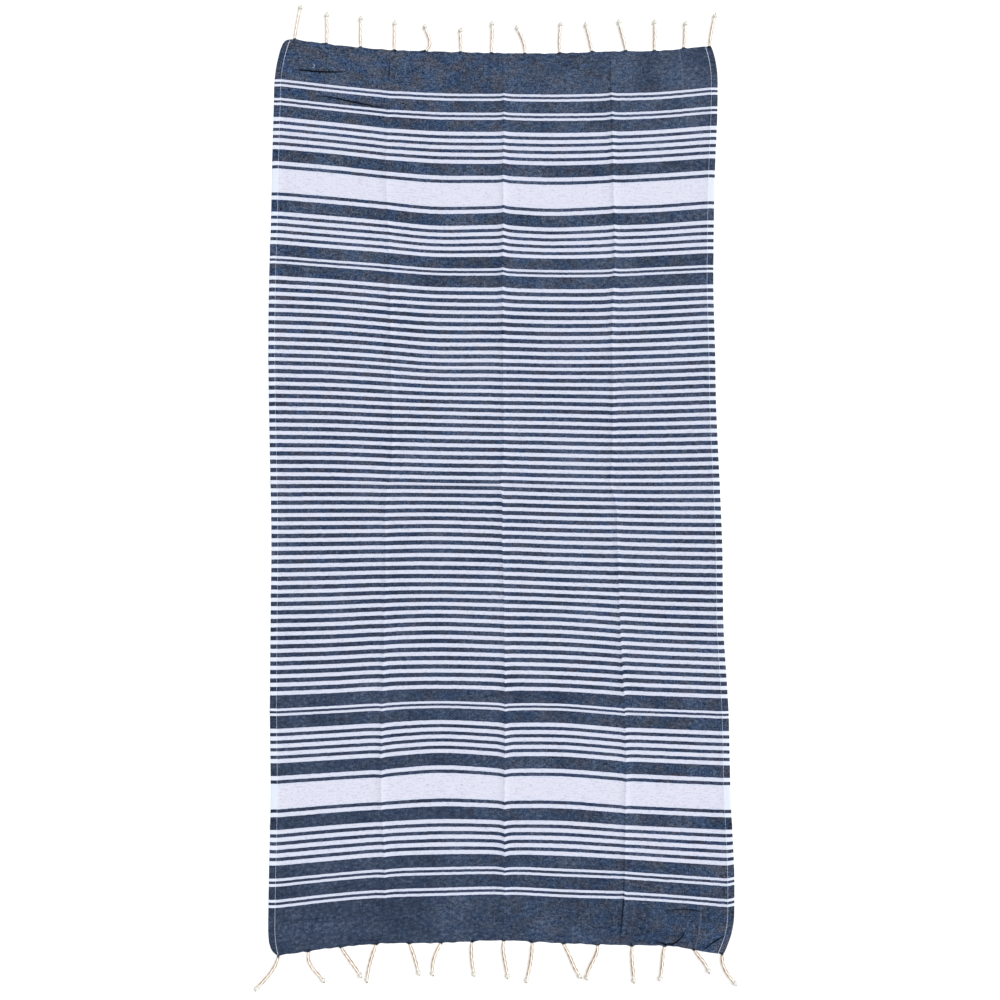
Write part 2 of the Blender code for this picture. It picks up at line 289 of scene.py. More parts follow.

# -------- the cords

# Where each cord leaves the edge and how long it is, in millimetres, how far it leans from straight
# out at its root, halfway and at its tip, in degrees towards +X, and how much of its root is dark
Cord = namedtuple("Cord", "across length root middle tip dyed", defaults=(2.2,))
TOP_CORDS = [Cord(*row) for row in (
    (-475, 77, 12, 9, 17),
    (-389, 69, 10, -2, 4),
    (-306, 69, 1, 0, 0),
    (-230, 65, 2, 1, 0),
    (-160, 65, 66, -18, 2),
    (-80, 53, 6, -3, 10),
    (-11, 70, 4, 2, -8),
    (65, 66, 4, -21, -26),
    (144, 69, -2, 2, 8),
    (216, 66, -8, -13, -16),
    (293, 71, -10, -14, -14),
    (358, 69, 3, 1, -7),
    (432, 59, 16, 1, 12),
    (496, 76, 4, 11, 13),
)]
BOTTOM_CORDS = [Cord(*row) for row in (
    (-484, 89, -6, -39, -38, 9),
    (-416, 75, -12, 38, 33),
    (-343, 76, 37, 36, 34),
    (-267, 81, -22, -14, -3),
    (-196, 68, 28, 16, 19),
    (-128, 71, -32, -15, 15),
    (-62, 71, -6, 6, 13),
    (6, 79, -8, 11, 2),
    (67, 84, 2, -10, -15),
    (134, 80, 36, 23, 41),
    (208, 76, 2, -29, 5),
    (282, 76, -6, 5, 0),
    (352, 72, -16, -5, -22),
    (428, 57, 36, 37, 10),
    (495, 74, -12, 29, 40, 7),
)]
FRINGES = {1: TOP_CORDS, -1: BOTTOM_CORDS}

PLIES = 3
PLY_RADIUS = 0.00172
PLY_OFFSET = 0.00155
YARNS_IN_PLY = 6
YARN_RELIEF = 0.13
PLY_SIDES = 18
TWIST_LENGTH = 0.044
YARN_TWIST_LENGTH = 0.024
CORD_STEP = 0.0022
CORD_HEIGHT = 0.0033
ROOT_HEIGHT = 0.0013
ROOT_RISE_LENGTH = 0.012
ROOT_INSIDE = 0.0012
ROOT_THIN = 0.70
KNOT_TURNS = 2.1
KNOT_RUN = 0.0060
KNOT_COIL = 0.0035
KNOT_FLATTENED = 0.72
KNOT_PLY_RADIUS = 0.0018
KNOT_STEPS = 48
KNOT_PLACE = 0.0066
KNOT_HEIGHT = 0.0047
KNOT_TIGHT = 0.60
KNOT_RISE_LENGTH = 0.014
KNOT_SLANT = 0.0009
# The share of a knot's turns in which its ends are tucked in, and how narrow and thin they get there
KNOT_TUCK, TUCKED_COIL, TUCKED_PLY = 0.10, 0.45, 0.7
TURN_BETWEEN_CORDS = 1.9
CORD_REACH = 0.0090
PEAK_DEPTH = 0.0024
PEAK_WIDTH = 0.0042
PEAK_REACH = 0.0080
ROOT_DOT = 0.0026
ROOT_DOT_ASIDE = 0.0024
ROOT_DOT_INSIDE = 0.0018
ROOT_DOT_FAINTEST = 0.45
ROOT_DOT_STEP = 0.14
ROOT_LUMP = 0.0016

# The waves of the end edges: each one's share, how often it turns in a metre, in radians, and its start
EDGE_WAVES = ((1.0, 147, 1.3), (0.8, 263, 0.4), (0.5, 89, 0.0))
EDGE_WAVE = 0.0005
EDGE_WAVE_REACH = 0.0060

STITCH_PITCH = 0.0034
STITCH_SIZE = (0.00150, 0.00032, 0.00022)
# How much thicker the stitches are near the ends, where the hems are pulled
STITCH_SWELL = ((-990, 1.9), (-960, 1.4), (-860, 1.1), (-760, 1.0), (920, 1.0), (955, 2.0), (990, 2.8))
STITCH_PLACE = 0.4857
SEAM_POINTS = 700

CLOTH_SMOOTH_UNDER = math.radians(55)
YARN_SMOOTH_UNDER = math.radians(60)


# -------- places on the floor


def smooth(t):
    """Zero below 0, one above 1, and a soft ramp between them."""
    t = np.clip(t, 0.0, 1.0)
    return t * t * (3 - 2 * t)


def through(keys, values, at):
    """Values at places on a smooth curve through a table, or each from its own column of one."""
    keys = np.asarray(keys, float)
    values = np.asarray(values, float)
    own = () if values.ndim == 1 else (np.arange(len(at)),)
    slopes = np.gradient(values, keys, axis=0)
    at = np.clip(at, keys[0], keys[-1])
    low = np.clip(np.searchsorted(keys, at, side="right") - 1, 0, len(keys) - 2)
    here, there = values[(low, *own)], values[(low + 1, *own)]
    span = keys[low + 1] - keys[low]
    slope_in, slope_out = slopes[(low, *own)] * span, slopes[(low + 1, *own)] * span
    t = (at - keys[low]) / span
    rise = there - here
    return (
        here
        + slope_in * t
        + (3 * rise - 2 * slope_in - slope_out) * t**2
        + (slope_in + slope_out - 2 * rise) * t**3
    )


def column(rows, name):
    return np.array([getattr(row, name) for row in rows]) * MM


def read(rows, name, along):
    """A column of a table at places along the cloth, in metres."""
    return through(column(rows, "along"), column(rows, name), along)


def of_corner(name, across, along):
    """A column of the corners' table, for the corner that each place is nearest to."""
    value = np.zeros_like(across)
    for corner in CORNERS:
        nearest = (np.sign(across) == corner.side) & (np.sign(along) == corner.end)
        value = np.where(nearest, getattr(corner, name) * MM, value)
    return value


def nearing(edge, place, reach):
    """Zero further than a reach from an edge, and rising straight to one at it."""
    return np.clip((np.abs(place) - edge + reach) / reach, 0.0, 1.0)


def into_hem(across):
    """Zero up to a hem's stitches, and one at its edge."""
    return nearing(HALF_WIDTH, across, HEM_WIDTH)


def near_corner(along):
    """Rises from 0 to 1 towards an end as the side of nearly a quarter circle does."""
    t = nearing(HALF_LENGTH, along, ROUNDING_REACH)
    return (1 - np.sqrt(1 - (ROUNDED_UP_TO * t) ** 2)) / (1 - math.sqrt(1 - ROUNDED_UP_TO**2))


def drawn_in(across, along):
    """How far the hem's pull moves a place near a corner towards the middle."""
    reach = np.maximum(of_corner("reach", across, along), MM)
    near_end = nearing(HALF_LENGTH, along, reach)
    near_side = smooth((np.abs(across) - HALF_WIDTH + HEM_WIDTH + CORNER_SPREAD) / CORNER_SPREAD)
    pulled = of_corner("drawn_in", across, along) * near_end**2 * near_side
    narrowed = of_corner("narrowed", across, along) * into_hem(across) * near_corner(along)
    return -np.sign(across) * (pulled + narrowed)


def rounded_off(across, along):
    """How much shorter the cloth is near its corners, in the width of the hem."""
    amount = of_corner("rounded", across, along)
    return np.sign(along) * amount * into_hem(across) ** 2 * near_corner(along)


def weft_bow(across, along):
    """How far the weft is bowed from straight, with the sharp pull of each lengthwise crease."""
    keys = column(WEFTS, "along")
    lines = column(WEFTS, "stands_off")
    at_places = np.array([through(keys, line, along) for line in lines.T])
    bow = through(np.array(WEFT_PLACES) * MM, at_places, across)
    for rows in RIDGES.values():
        off = across - read(rows, "place", along)
        pull = read(rows, "pull", along) * np.exp(-np.abs(off) / PULL_REACH)
        step = np.tanh(off / STEP_SHARPNESS) * np.exp(-np.abs(off) / STEP_REACH)
        bow = bow + pull + read(rows, "step", along) * step
    return bow


def hem_kick(across, along):
    """How the right hem turns its stripes up towards its edge, more towards the bottom end."""
    towards_end = smooth((HEM_KICK_START - along) / HEM_KICK_REACH)
    return HEM_KICK * into_hem(np.maximum(across, 0.0)) * towards_end


def on_fold(fold, values, across, along):
    """A crosswise crease's value in metres, zero on the side of the middle crease that it leaves out."""
    value = through((-HALF_WIDTH, 0.0, HALF_WIDTH), np.array(values) * MM, across)
    if fold.side:
        off = across - read(MIDDLE_RIDGE, "place", along)
        value = value * smooth(fold.side * off / FOLD_CROSSING + 0.5)
    return value


def taken_up(across, along):
    """How far each crosswise crease draws the cloth on its two sides together."""
    moved = np.zeros_like(along)
    for fold in FOLDS:
        off = along - fold.along * MM
        pull = np.tanh(off / FOLD_TAKE_REACH) - np.clip(off / FOLD_GIVE_REACH, -1.0, 1.0)
        moved = moved - on_fold(fold, fold.taken, across, along) / 2 * pull
    return moved


def pulled_peaks(across, along):
    """The small points that the cords pull out of the end edges."""
    moved = np.zeros_like(across)
    for end, cords in FRINGES.items():
        near_end = np.exp(-(HALF_LENGTH - end * along) / PEAK_REACH)
        for cord in cords:
            beside = np.exp(-(((across - cord.across * MM) / PEAK_WIDTH) ** 2))
            moved = moved + end * PEAK_DEPTH * beside * near_end
    return moved


def uneven_end(across, along):
    """The small waves of the end edges, where the cords draw the weft unevenly."""
    near_end = np.exp(-(HALF_LENGTH - np.abs(along)) / EDGE_WAVE_REACH)
    waves = sum(size * np.sin(across * turns + start) for size, turns, start in EDGE_WAVES)
    return EDGE_WAVE * waves * near_end


def lying(across, along):
    """The spots on the floor where places on the cloth lie, before the frame's own shift."""
    share = across / CLOTH_WIDTH + 0.5
    left = read(SIDES, "left", along)
    right = read(SIDES, "right", along)
    x = left * (1 - share) + right * share + drawn_in(across, along)
    y = along + weft_bow(across, along) + taken_up(across, along) - rounded_off(across, along)
    beside_hem = smooth((np.abs(across) - HALF_WIDTH + 2 * HEM_WIDTH) / HEM_WIDTH)
    straightened = of_corner("narrowed", across, along) / HEM_WIDTH * beside_hem
    at_end = (pulled_peaks(across, along) + uneven_end(across, along)) * (1 - straightened)
    return x, y + hem_kick(across, along) + at_end


def peak(off, foot, sharpness):
    return np.clip(1 - np.abs(off) / foot, 0.0, 1.0) ** sharpness


def crease_height(across, along):
    """How high the creases lift the cloth: where two cross, the higher one carries on."""
    heights = []
    for rows in RIDGES.values():
        off = across - read(rows, "place", along)
        heights.append(read(rows, "height", along) * peak(off, RIDGE_FOOT, RIDGE_SHARPNESS))
    for fold in FOLDS:
        size = on_fold(fold, fold.heights, across, along)
        heights.append(size * peak(along - fold.along * MM, FOLD_FOOT, FOLD_SHARPNESS))
    return np.max(heights, axis=0)


def beside_line(points, x, y):
    """Places as a share of a line's length and as a distance to its left."""
    runs = np.diff(points, axis=0)
    lengths = np.hypot(*runs.T)
    best = np.full_like(x, np.inf)
    share = np.zeros_like(x)
    left = np.zeros_like(x)
    for start, run, length, before in zip(points, runs, lengths, np.cumsum(lengths) - lengths):
        off = x - start[0], y - start[1]
        onward = (off[0] * run[0] + off[1] * run[1]) / length
        aside = (off[1] * run[0] - off[0] * run[1]) / length
        past = onward - np.clip(onward, 0.0, length)
        distance = np.hypot(aside, past)
        nearer = distance < best
        best = np.where(nearer, distance, best)
        share = np.where(nearer, (before + onward) / lengths.sum(), share)
        left = np.where(nearer, np.where(aside < 0, -distance, distance), left)
    return share, left


def beside_wrinkle(wrinkle, across, along):
    return beside_line(np.array(wrinkle.through) * MM, across, along)


def tapered(share):
    return np.sin(np.pi * np.clip(share, 0.0, 1.0)) ** WRINKLE_TAPER


def wrinkle_height(across, along):
    height = np.zeros_like(across)
    for wrinkle in WRINKLES:
        share, left = beside_wrinkle(wrinkle, across, along)
        foot = np.where(left > 0, wrinkle.left * MM, PINCH)
        lift = wrinkle.height * MM * tapered(share) * peak(left, foot, WRINKLE_SHARPNESS)
        height = np.maximum(height, lift)
    return height


def root_dots(across, along):
    """One at the small lumps of yarn beside the cords' roots, and zero away from them."""
    dots = np.zeros_like(across)
    for end, cords in FRINGES.items():
        for count, cord in enumerate(cords):
            beside = across - cord.across * MM + ROOT_DOT_ASIDE * (1 if count % 3 else -1)
            off = np.hypot(beside, HALF_LENGTH - ROOT_DOT_INSIDE - end * along)
            strength = ROOT_DOT_FAINTEST + ROOT_DOT_STEP * (count * 3 % 5)
            dots = np.maximum(dots, strength * np.exp(-((off / ROOT_DOT) ** 2)))
    return dots


def crease_shadow_lines(across, along):
    """For each place, how far the nearest line of painted shadow along a crease or wrinkle is, in mm, and
    how dark it is there.
    """
    lines = [
        (across - read(rows, "place", along) + RIDGE_DARK_ASIDE, read(rows, "dark", along) / MM / 100)
        for rows in RIDGES.values()
    ]
    for wrinkle in WRINKLES:
        share, left = beside_wrinkle(wrinkle, across, along)
        lines.append((left + PINCH / 2, wrinkle.dark * tapered(share)))
    off, dark = np.full_like(across, np.inf), np.zeros_like(across)
    for line_off, shadow_line_dark in lines:
        nearer = (np.abs(line_off) < np.abs(off)) & (shadow_line_dark > 0)
        off = np.where(nearer, line_off, off)
        dark = np.where(nearer, shadow_line_dark, dark)
    return np.clip(off, -LINE_MARGIN, LINE_MARGIN) / MM, np.where(np.abs(off) < LINE_NEAR, dark, 0.0)


def rise(across, along):
    """The height of the cloth's underside above the floor."""
    near_end = smooth((HALF_LENGTH - np.abs(along)) / END_FADE)
    lift = np.maximum(crease_height(across, along) * near_end, wrinkle_height(across, along))
    return lift + ROOT_LUMP * root_dots(across, along)


def layers(across):
    """The thickness of the cloth and, at its long sides, of its hems."""
    distances, thicknesses = zip(*HEM_ROUND)
    inward = HALF_WIDTH - np.abs(across)
    hem = np.interp(inward, np.array(distances) * MM, thicknesses)
    share = np.clip((inward - HEM_WIDTH) / HEM_STEP, 0.0, 1.0)
    return hem * (1 - share) + CLOTH_THICK * share


def heading(cord, end, share):
    """Which way a cord runs at a share of its length, as a step of one."""
    lean = math.radians(
        cord.root * (1 - share) * (1 - 2 * share)
        + cord.middle * 4 * share * (1 - share)
        + cord.tip * share * (2 * share - 1)
    )
    return np.array([math.sin(lean), end * math.cos(lean)])


def cord_line(cord, end):
    """Points on the floor under a cord, from inside the cloth's edge to the end of its knot."""
    edge = end * (HALF_LENGTH - ROOT_INSIDE)
    spot = np.array([float(part[0]) for part in lying(np.array([cord.across * MM]), np.array([edge]))])
    line = [spot]
    spot = spot + heading(cord, end, 0.0) * ROOT_INSIDE
    steps = round(cord.length * MM / CORD_STEP)
    for k in range(steps):
        line.append(spot)
        spot = spot + heading(cord, end, (k + 0.5) / steps) * cord.length * MM / steps
    line.append(spot)
    return np.array(line)


def frame_shift():
    """How far the frame's towel stands off the tables' middle: its sides and its cords' tips show it."""
    solid_low, solid_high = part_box("cloth")
    edge = np.linspace(-HALF_LENGTH, HALF_LENGTH, SIDE_POINTS)
    left = lying(np.full_like(edge, -HALF_WIDTH), edge)[0].min()
    right = lying(np.full_like(edge, HALF_WIDTH), edge)[0].max()
    top = max(cord_line(cord, 1)[-1][1] for cord in TOP_CORDS)
    bottom = min(cord_line(cord, -1)[-1][1] for cord in BOTTOM_CORDS)
    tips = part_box("fringe_top")[1][1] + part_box("fringe_bottom")[0][1]
    return (solid_low[0] + solid_high[0] - left - right) / 2, (tips - top - bottom) / 2


SHIFT = frame_shift()


def in_frame(across, along, height):
    x, y = lying(across, along)
    return np.stack([x + SHIFT[0], y + SHIFT[1], height], axis=1)


# -------- small tools of the trade


def take_up(piece):
    """Makes a piece the selected and active one."""
    bpy.ops.object.select_all(action="DESELECT")
    piece.select_set(True)
    bpy.context.view_layer.objects.active = piece


def numbers_of(things, name, each=1, kind=float):
    """A measure of all points, faces or corners of a mesh, that has so many numbers each."""
    numbers = np.empty(len(things) * each, kind)
    things.foreach_get(name, numbers)
    return numbers


def points_of(mesh):
    return numbers_of(mesh.vertices, "co", 3).reshape(-1, 3)


def move_points(mesh, places):
    mesh.vertices.foreach_set("co", places.ravel())
    mesh.update()


def put_in_scene(name, data):
    thing = bpy.data.objects.new(name, data)
    bpy.context.collection.objects.link(thing)
    return thing


def write_on_points(mesh, values_by_name):
    """Writes numbers on the points of a mesh, for a material to read."""
    for name, values in values_by_name.items():
        mesh.attributes.new(name, "FLOAT", "POINT").data.foreach_set("value", values)


def new_curve(name):
    curve = bpy.data.curves.new(name, "CURVE")
    curve.dimensions = "3D"
    curve.twist_mode = "Z_UP"
    return curve


def add_line(curve, line, radii, twist, finish_slot=0):
    """A line through points on a curve, with its own thickness and twist at each."""
    spline = curve.splines.new("POLY")
    spline.material_index = finish_slot
    spline.points.add(len(line) - 1)
    for point, place, radius, turn in zip(spline.points, line, radii, twist):
        point.co = (*place, 1.0)
        point.radius = radius
        point.tilt = turn


def srgb(red, green, blue):
    """A colour as it is picked from a picture, 0 to 255, as light."""
    parts = [part / 255 for part in (red, green, blue)]
    return tuple(p / 12.92 if p <= 0.04045 else ((p + 0.055) / 1.055) ** 2.4 for p in parts) + (1.0,)


def maths(operation, backwards=False):
    """A method that puts a Math node behind a wire."""

    def add_node(wire, *others):
        values = (*others, wire) if backwards else (wire, *others)
        return wire.finish.node("ShaderNodeMath", {"operation": operation}, dict(enumerate(values)))

    return add_node


class Wire:
    """A value in a material. Python's operators on it add Math nodes."""

    def __init__(self, finish, socket):
        self.finish = finish
        self.socket = socket

    __add__ = __radd__ = maths("ADD")
    __sub__ = maths("SUBTRACT")
    __rsub__ = maths("SUBTRACT", backwards=True)
    __mul__ = __rmul__ = maths("MULTIPLY")
    __truediv__ = maths("DIVIDE")
    __pow__ = maths("POWER")
    __abs__ = maths("ABSOLUTE")
    root = maths("SQRT")
    folded = maths("PINGPONG")
    larger = maths("MAXIMUM")
    smaller = maths("MINIMUM")

    def clamped(self):
        return self.finish.node("ShaderNodeClamp", {}, {"Value": self})

    def above(self, level, softness):
        """One where the value is over a level, zero where it is under it."""
        return ((self - level) / softness + 0.5).clamped()

    def between(self, low, high):
        """The value from 0 to 1 spread to the range from low to high."""
        return self * (high - low) + low


class Finish:
    """A material in the making."""

    def __init__(self, name):
        self.material = bpy.data.materials.new(name)
        self.material.use_nodes = True
        self.tree = self.material.node_tree
        self.shader = self.tree.nodes["Principled BSDF"]

    def put(self, socket, value):
        if isinstance(value, Wire):
            self.tree.links.new(value.socket, socket)
        else:
            socket.default_value = value

    def node(self, kind, settings={}, inputs={}, output=0):
        """A node of a kind, with its settings, and its sockets' values or wires."""
        node = self.tree.nodes.new(kind)
        for name, value in settings.items():
            setattr(node, name, value)
        for key, value in inputs.items():
            self.put(node.inputs[key], value)
        return Wire(self, node.outputs[output])

    def mixed(self, share, one, other, blend="MIX"):
        """A colour between two, or blended of them, by a share."""
        settings = {"data_type": "RGBA", "blend_type": blend}
        return self.node("ShaderNodeMix", settings, {0: share, 6: one, 7: other}, output=2)

    def layered(self, colour, *coats):
        """A colour with others laid over it in turn, each by its own share."""
        for share, coat in coats:
            colour = self.mixed(share, colour, coat)
        return colour

    def place(self, x, y, z):
        return self.node("ShaderNodeCombineXYZ", {}, {"X": x, "Y": y, "Z": z})

    def noise(self, place, scale, detail=2.0, roughness=0.5):
        """Noise of about 0 to 1 with spots of 1/scale metres."""
        inputs = {"Vector": place, "Scale": scale, "Detail": detail, "Roughness": roughness}
        return self.node("ShaderNodeTexNoise", {}, inputs)

    def painted(self, name):
        """A number that is written on the piece's points."""
        return self.node("ShaderNodeAttribute", {"attribute_name": name}, output="Fac")

    def part_of(self, vector, axis):
        return self.node("ShaderNodeSeparateXYZ", {}, {0: vector}, output=axis)

    def on_piece(self):
        """Places in the piece's own measure."""
        return self.node("ShaderNodeTexCoord", output="Object")

    def bump(self, height, strength, distance):
        inputs = {"Height": height, "Strength": strength, "Distance": distance}
        return self.node("ShaderNodeBump", {}, inputs)

    def surface(self, **values):
        """Sets the shader's own sockets, named with _ for a space."""
        for name, value in values.items():
            self.put(self.shader.inputs[name.replace("_", " ")], value)
        return self.material


# -------- finishes

NAVY = srgb(52, 64, 84)
NAVY_DEEP = srgb(24, 30, 49)
NAVY_WORN = srgb(94, 107, 130)
NAVY_SLATE = srgb(40, 66, 102)
NAVY_WARM = srgb(72, 71, 77)
# Near black: for dark neps in the yarn, for painted shadow along the creases and wrinkles, and for the dark
# dots at the cords' roots
FLECK_AND_SHADOW_DARK = srgb(10, 12, 22)
PALE = srgb(207, 208, 223)
PALE_SHADE = srgb(176, 179, 197)
NAVY_TINGE = (1.0, 0.83, 0.98, 1.0)
PALE_TINGE = (0.88, 0.97, 1.0, 1.0)
HEM_PALE = srgb(214, 222, 234)
CREAM = srgb(250, 246, 238)
CREAM_DEEP = srgb(248, 243, 231)
KNOT_WHITE = srgb(223, 224, 219)
HEM_TINT = srgb(150, 158, 185)
# Painted shade for the cords' sides, darker than their cream tops
TAN_SIDE_SHADE = srgb(148, 106, 72)
PALE_TAN_SIDE_SHADE = srgb(172, 136, 108)
KNOT_SHADE = srgb(190, 178, 160)
THREAD = srgb(228, 237, 252)
THREAD_SUNK = srgb(178, 190, 216)
FLOOR_PALE = (0.97, 0.97, 0.97, 1.0)
FLOOR_PALEST = (0.99, 0.99, 0.99, 1.0)

STRIPE_SOFTNESS = 0.5
STRIPE_TINGED = 4.0
STRIPE_WANDER = 1.6
# A stray pale warp near the right side, towards the ends, and a small curl of pale yarn
STRAY_WARP_PLACE = 0.425
STRAY_WARP_SLANT = 0.004
STRAY_WARP_FALL = 500
STRAY_WARP_SHOWS = (0.86, 0.12)
CURL_ACROSS, CURL_ALONG = -0.417, 0.936
CURL_RADIUS = 0.0042
CURL_FALL = 700
CURL_OPENING = 0.004
# Names of maps and of numbers on points
WEAVE_MAP = "weave"
LINE_OFF = "line_off"
SHADOW_LINE_DARK = "shadow_line_dark"
ROOT_DARK = "root_dark"
CORD_SIDE = "cord_side"
CORD_REACHED = "cord_reached"
BAKE_MAP = "OFBake"


def into_pale(finish, distance):
    """How far inside a pale stripe, or below zero outside of one, a distance from the middle is, in mm."""
    to_pale = distance.folded(FIELD_PITCH / 2)
    field_end = HALF_LENGTH / MM - END_BAND - sum(HEAD) - BAND + FIELD_PALE / 2
    inside = (FIELD_PALE / 2 - to_pale).smaller(field_end - distance)
    outer = HALF_LENGTH / MM - END_BAND
    for place, width in enumerate(HEAD):
        if place % 2 == 0:
            middle = outer - width / 2
            inside = inside.larger(width / 2 - abs(distance - middle))
        outer -= width
    return inside


def woven_cloth():
    """Dark blue cotton with pale stripes, in a flat weave of uneven yarn."""
    finish = Finish("woven_cotton")
    on_cloth = finish.node("ShaderNodeUVMap", {"uv_map": WEAVE_MAP})
    across = finish.part_of(on_cloth, "X")
    along = finish.part_of(on_cloth, "Y")

    def spots(finer_across, finer_along, height, scale=1.0, detail=2.0, roughness=0.5):
        """Noise on the cloth, so many times finer in each direction, cut at a height of its own."""
        place = finish.place(across * finer_across, along * finer_along, height)
        return finish.noise(place, scale, detail, roughness)

    weft_yarn = spots(55, 900, 1.0, detail=3.0, roughness=0.6)
    warp_yarn = spots(900, 45, 2.0, detail=3.0, roughness=0.6)
    heather = spots(1, 1, 0.3, 300.0, detail=3.0, roughness=0.6)
    mottle = spots(100, 150, 9.0)
    streaks = spots(42, 400, 8.0)
    slubs = spots(160, 420, 5.0, roughness=0.6)
    cloudy = spots(1, 1, 0.6, 14.0)
    neps = spots(1, 1.2, 3.1, 225.0, detail=1.0)
    dyed = finish.noise(finish.place(across * 26 - along * 16, along * 36 + across * 8, 7.0), 1.0)

    wander = (spots(3, 0.5, 4.0, 30.0, detail=3.0) - 0.5) * STRIPE_WANDER
    inside = into_pale(finish, abs(along) / MM + wander)
    pale = (inside / STRIPE_SOFTNESS + 0.5).clamped()
    near_stripe_edge = (1 - abs(inside) / STRIPE_TINGED).clamped()

    uneven = (along * 0.25 - across * along * 1.2 + 0.45).clamped()
    grain = (
        (weft_yarn - 0.5) * 0.7
        + (warp_yarn - 0.5) * 0.9
        + (heather - 0.5) * 2.8
        + (slubs - 0.5) * 0.8
        + (streaks - 0.5) * 0.3
    )
    shade = grain * uneven.between(0.45, 1.0) + (mottle - 0.5) * 1.3 + (cloudy - 0.5) * 0.8
    shade = shade + (across + along) * 0.06
    worn = (shade * 1.5).clamped()
    deep = (shade * -1.5).clamped()
    tinted = uneven.between(0.1, 0.85)
    off_warp = abs(across + along * STRAY_WARP_SLANT - STRAY_WARP_PLACE)
    stray_warp = (1 - off_warp * STRAY_WARP_FALL).clamped() * abs(along).above(*STRAY_WARP_SHOWS)
    squared = (across - CURL_ACROSS) ** 2 + (along - CURL_ALONG) ** 2
    off_curl = abs(squared.root() - CURL_RADIUS)
    curl = (1 - off_curl * CURL_FALL).clamped() * across.above(CURL_ACROSS, CURL_OPENING)
    navy = finish.layered(
        NAVY,
        (((dyed - 0.5) * 6.0).clamped() * tinted, NAVY_SLATE),
        (((0.5 - dyed) * 6.0).clamped() * tinted, NAVY_WARM),
        (worn, NAVY_WORN),
        (deep, NAVY_DEEP),
        (stray_warp * 0.6, NAVY_WORN),
        (curl * 0.8, PALE_SHADE),
    )
    navy = finish.mixed(near_stripe_edge, navy, NAVY_TINGE, "MULTIPLY")
    tufts = ((0.5 - slubs) * 3.2 + (0.5 - streaks) * 2.2 + deep * 0.25).clamped()
    white = finish.mixed(tufts, PALE, PALE_SHADE)
    white = finish.mixed(near_stripe_edge, white, PALE_TINGE, "MULTIPLY")
    in_hem = abs(across).above(HALF_WIDTH - HEM_WIDTH, 0.0006)
    dark_neps = neps.above(0.68, 0.05) * (1 - pale) * uneven.between(0.4, 1.0)
    pale_neps = (0.27 - neps).above(0.0, 0.05) * (1 - pale * 0.85) * 0.5
    # Painted shadow: dark lines beside the creases and on the wrinkles' steep sides, fainter on pale
    # stripes
    crease_shadow = ((1 - abs(finish.painted(LINE_OFF)) / LINE_WIDTH) * finish.painted(SHADOW_LINE_DARK)).clamped()
    colour = finish.layered(
        finish.mixed(in_hem * 0.15, finish.mixed(pale, navy, white), HEM_TINT, "MULTIPLY"),
        (in_hem * pale * 0.8, HEM_PALE),
        (dark_neps, FLECK_AND_SHADOW_DARK),
        (pale_neps, NAVY_WORN),
        # the painted shadow lines, with the dark dots at the cords' roots
        ((crease_shadow * (1 - pale * 0.75)).larger(finish.painted(ROOT_DARK)), FLECK_AND_SHADOW_DARK),
    )

    weave = weft_yarn * 0.5 + warp_yarn * 0.5 + heather * 0.4
    return finish.surface(
        Base_Color=colour,
        Roughness=shade.between(0.86, 0.80),
        Normal=finish.bump(weave, 0.5, 0.0006),
        Specular_IOR_Level=0.04,
    )


def cotton_yarn(name, top_colour, side_shade, side_starts):
    """Undyed cotton: pale on top, with painted shade at a cord's sides and where its yarns turn under."""
    finish = Finish(name)
    upward = finish.part_of(finish.node("ShaderNodeNewGeometry", output="Normal"), "Z")
    fuzz = finish.noise(finish.on_piece(), 1400.0, 3.0, 0.6)
    shade_patches = finish.noise(finish.on_piece(), 70.0).between(0.4, 1.3)
    # Painted shade: darker where the surface faces down and in a band along each cord's sides, stronger in
    # some patches
    under_shade = (1 - upward).above(0.60, 0.6) * 0.6
    outer = finish.painted(CORD_SIDE).above(side_starts, 0.9)
    shaded = (under_shade.larger(outer) * shade_patches + (fuzz - 0.5) * 0.3).clamped()
    # Dark over the first millimetres of each cord's root
    at_root = ((1 - finish.painted(CORD_REACHED)) * 1.6).clamped()
    return finish.surface(
        Base_Color=finish.mixed(at_root, finish.mixed(shaded, top_colour, side_shade), NAVY_DEEP),
        Roughness=fuzz.between(0.92, 0.78),
        Normal=finish.bump(fuzz, 0.4, 0.0004),
        Sheen_Weight=0.2,
        Specular_IOR_Level=0.2,
    )


def stitch_thread():
    finish = Finish("stitch_thread")
    ply = finish.noise(finish.on_piece(), 2600.0)
    return finish.surface(
        Base_Color=finish.mixed(ply * 0.6, THREAD, THREAD_SUNK),
        Roughness=ply.between(0.55, 0.75),
        Normal=finish.bump(ply, 0.4, 0.0002),
    )


def pale_floor():
    finish = Finish("pale_floor")
    grain = finish.noise(finish.on_piece(), 40.0, 3.0)
    return finish.surface(
        Base_Color=finish.mixed(grain, FLOOR_PALE, FLOOR_PALEST),
        Roughness=0.95,
        Specular_IOR_Level=0.1,
    )


# -------- the cloth


def spread(edges, centres, offsets):
    """Grid lines: some near both edges, close ones on each crease, and even ones in the open."""
    lines = [side * edge for edge in edges for side in (-1, 1)]
    lines += [centre + side * offset for centre in centres for offset in offsets for side in (-1, 1)]
    lines = sorted({round(line, 6) for line in lines})
    filled = []
    for low, high in zip(lines, lines[1:]):
        count = max(round((high - low) / OPEN_SPAN), 1)
        filled += [low + (high - low) * k / count for k in range(count)]
    return np.array([*filled, lines[-1]])


